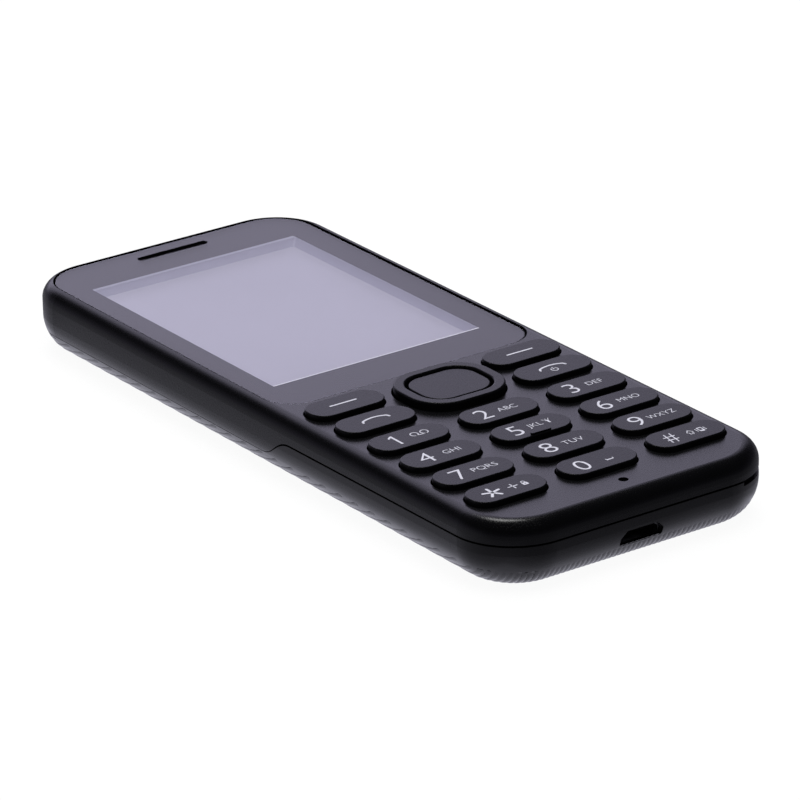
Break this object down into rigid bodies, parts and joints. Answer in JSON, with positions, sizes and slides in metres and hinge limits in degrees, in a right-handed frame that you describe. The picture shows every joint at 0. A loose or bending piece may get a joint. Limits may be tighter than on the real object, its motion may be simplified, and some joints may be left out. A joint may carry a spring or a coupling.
{
  "type": "mobile phone",
  "caption": "Bar-shaped keypad phone with a recessed display lens, pressing keys, a rocking navigation ring and a lift-off ribbed back cover over its battery.",
  "frame": {"origin": "middle of the back face, on the surface the phone lies on", "axes": "+X to the right seen from the front, +Y towards the earpiece end, +Z out of the screen"},
  "size_m": [0.0512, 0.1256, 0.0122],
  "materials": {
    "housing_plastic": "satin charcoal",
    "cover_plastic": "satin charcoal with fine diagonal ribs",
    "frame_plastic": "matte black",
    "key_plastic": "satin charcoal with pale legends",
    "lens_clear": "clear with a black printed border",
    "torch_clear": "clear",
    "screen_glass": "smooth grey",
    "backlight_plastic": "white",
    "flex_film": "amber film",
    "tape_black": "black tape",
    "foam_black": "black foam",
    "mesh_metal": "dark woven mesh",
    "receiver_metal": "stamped metal",
    "silicone": "translucent grey silicone",
    "boot_rubber": "black rubber",
    "film_clear": "frosted film",
    "dome_steel": "bright",
    "board_green": "green solder mask",
    "shield_steel": "tinned",
    "socket_steel": "stamped",
    "screw_steel": "dark zinc",
    "motor_steel": "drawn can",
    "weight_metal": "sintered",
    "battery_wrap": "thin dark wrap on a metal can",
    "connector_plastic": "black",
    "contact_gold": "gold plated",
    "holder_steel": "stamped",
    "card_plastic": "white",
    "led_plastic": "pale yellow"
  },
  "bodies": {
    "phone": {"front_housing": "housing_plastic", "mid_frame": "frame_plastic", "display_lens": "lens_clear", "torch_lens": "torch_clear", "lcd_panel": "screen_glass", "lcd_backlight": "backlight_plastic", "lcd_flex": "flex_film", "antenna": "flex_film", "lens_tape": "tape_black", "lcd_gasket": "foam_black", "speaker_gasket": "foam_black", "earpiece_mesh": "mesh_metal", "earpiece_receiver": "receiver_metal", "loudspeaker": "receiver_metal", "microphone": "receiver_metal", "keypad_mat": "silicone", "microphone_boot": "boot_rubber", "dome_film": "film_clear", "domes": "dome_steel", "main_board": "board_green", "shield_cans": "shield_steel", "usb_socket": "socket_steel", "screws": "screw_steel", "vibration_motor": "motor_steel", "battery_connector": "connector_plastic", "battery_springs": "contact_gold", "sim_holder": "holder_steel", "torch_led": "led_plastic"},
    "cover": {"back_cover": "cover_plastic", "speaker_mesh": "mesh_metal"},
    "soft_key_left": {"soft_key_left": "key_plastic"},
    "soft_key_right": {"soft_key_right": "key_plastic"},
    "call_key": {"call_key": "key_plastic"},
    "end_key": {"end_key": "key_plastic"},
    "ok_key": {"ok_key": "key_plastic"},
    "key_1": {"key_1": "key_plastic"},
    "key_2": {"key_2": "key_plastic"},
    "key_3": {"key_3": "key_plastic"},
    "key_4": {"key_4": "key_plastic"},
    "key_5": {"key_5": "key_plastic"},
    "key_6": {"key_6": "key_plastic"},
    "key_7": {"key_7": "key_plastic"},
    "key_8": {"key_8": "key_plastic"},
    "key_9": {"key_9": "key_plastic"},
    "key_star": {"key_star": "key_plastic"},
    "key_0": {"key_0": "key_plastic"},
    "key_hash": {"key_hash": "key_plastic"},
    "nav_ring": {"nav_ring": "key_plastic"},
    "nav_ring_pad": {"nav_ring_pad": "silicone"},
    "battery": {"battery": "battery_wrap"},
    "sim_card": {"sim_card": "card_plastic"},
    "motor_weight": {"motor_weight": "weight_metal"}
  },
  "joints": [
    {"name": "soft_key_left_press", "type": "slide", "parent": "phone", "child": "soft_key_left", "axis": [0, 0, -1], "range_m": [0, 0.0003], "stiffness_N_per_m": 5000},
    {"name": "soft_key_right_press", "type": "slide", "parent": "phone", "child": "soft_key_right", "axis": [0, 0, -1], "range_m": [0, 0.0003], "stiffness_N_per_m": 5000},
    {"name": "call_key_press", "type": "slide", "parent": "phone", "child": "call_key", "axis": [0, 0, -1], "range_m": [0, 0.0003], "stiffness_N_per_m": 5000},
    {"name": "end_key_press", "type": "slide", "parent": "phone", "child": "end_key", "axis": [0, 0, -1], "range_m": [0, 0.0003], "stiffness_N_per_m": 5000},
    {"name": "ok_key_press", "type": "slide", "parent": "phone", "child": "ok_key", "axis": [0, 0, -1], "range_m": [0, 0.0003], "stiffness_N_per_m": 5000},
    {"name": "key_1_press", "type": "slide", "parent": "phone", "child": "key_1", "axis": [0, 0, -1], "range_m": [0, 0.0003], "stiffness_N_per_m": 5000},
    {"name": "key_2_press", "type": "slide", "parent": "phone", "child": "key_2", "axis": [0, 0, -1], "range_m": [0, 0.0003], "stiffness_N_per_m": 5000},
    {"name": "key_3_press", "type": "slide", "parent": "phone", "child": "key_3", "axis": [0, 0, -1], "range_m": [0, 0.0003], "stiffness_N_per_m": 5000},
    {"name": "key_4_press", "type": "slide", "parent": "phone", "child": "key_4", "axis": [0, 0, -1], "range_m": [0, 0.0003], "stiffness_N_per_m": 5000},
    {"name": "key_5_press", "type": "slide", "parent": "phone", "child": "key_5", "axis": [0, 0, -1], "range_m": [0, 0.0003], "stiffness_N_per_m": 5000},
    {"name": "key_6_press", "type": "slide", "parent": "phone", "child": "key_6", "axis": [0, 0, -1], "range_m": [0, 0.0003], "stiffness_N_per_m": 5000},
    {"name": "key_7_press", "type": "slide", "parent": "phone", "child": "key_7", "axis": [0, 0, -1], "range_m": [0, 0.0003], "stiffness_N_per_m": 5000},
    {"name": "key_8_press", "type": "slide", "parent": "phone", "child": "key_8", "axis": [0, 0, -1], "range_m": [0, 0.0003], "stiffness_N_per_m": 5000},
    {"name": "key_9_press", "type": "slide", "parent": "phone", "child": "key_9", "axis": [0, 0, -1], "range_m": [0, 0.0003], "stiffness_N_per_m": 5000},
    {"name": "key_star_press", "type": "slide", "parent": "phone", "child": "key_star", "axis": [0, 0, -1], "range_m": [0, 0.0003], "stiffness_N_per_m": 5000},
    {"name": "key_0_press", "type": "slide", "parent": "phone", "child": "key_0", "axis": [0, 0, -1], "range_m": [0, 0.0003], "stiffness_N_per_m": 5000},
    {"name": "key_hash_press", "type": "slide", "parent": "phone", "child": "key_hash", "axis": [0, 0, -1], "range_m": [0, 0.0003], "stiffness_N_per_m": 5000},
    {"name": "nav_up_down", "type": "hinge", "parent": "phone", "child": "nav_ring_pad", "pos_m": [0, -0.01588, 0.0088], "axis": [1, 0, 0], "range_deg": [-2, 2], "stiffness_Nm_per_rad": 0.35},
    {"name": "nav_left_right", "type": "hinge", "parent": "nav_ring_pad", "child": "nav_ring", "pos_m": [0, -0.01588, 0.0088], "axis": [0, 1, 0], "range_deg": [-2, 2], "stiffness_Nm_per_rad": 0.35},
    {"name": "cover_lift", "type": "slide", "parent": "phone", "child": "cover", "axis": [0, 0, -1], "range_m": [0, 0.016]},
    {"name": "battery_lift", "type": "slide", "parent": "phone", "child": "battery", "axis": [0, 0, -1], "range_m": [0, 0.0096]},
    {"name": "sim_slide", "type": "slide", "parent": "phone", "child": "sim_card", "axis": [0, 1, 0], "range_m": [0, 0.014]},
    {"name": "weight_spin", "type": "hinge", "parent": "phone", "child": "motor_weight", "pos_m": [-0.0099, -0.0525, 0.0031], "axis": [1, 0, 0], "continuous": true}
  ],
  "couplings": [
    {"joint": "battery_lift", "follows": "cover_lift", "ratio": 0.6}
  ]
}
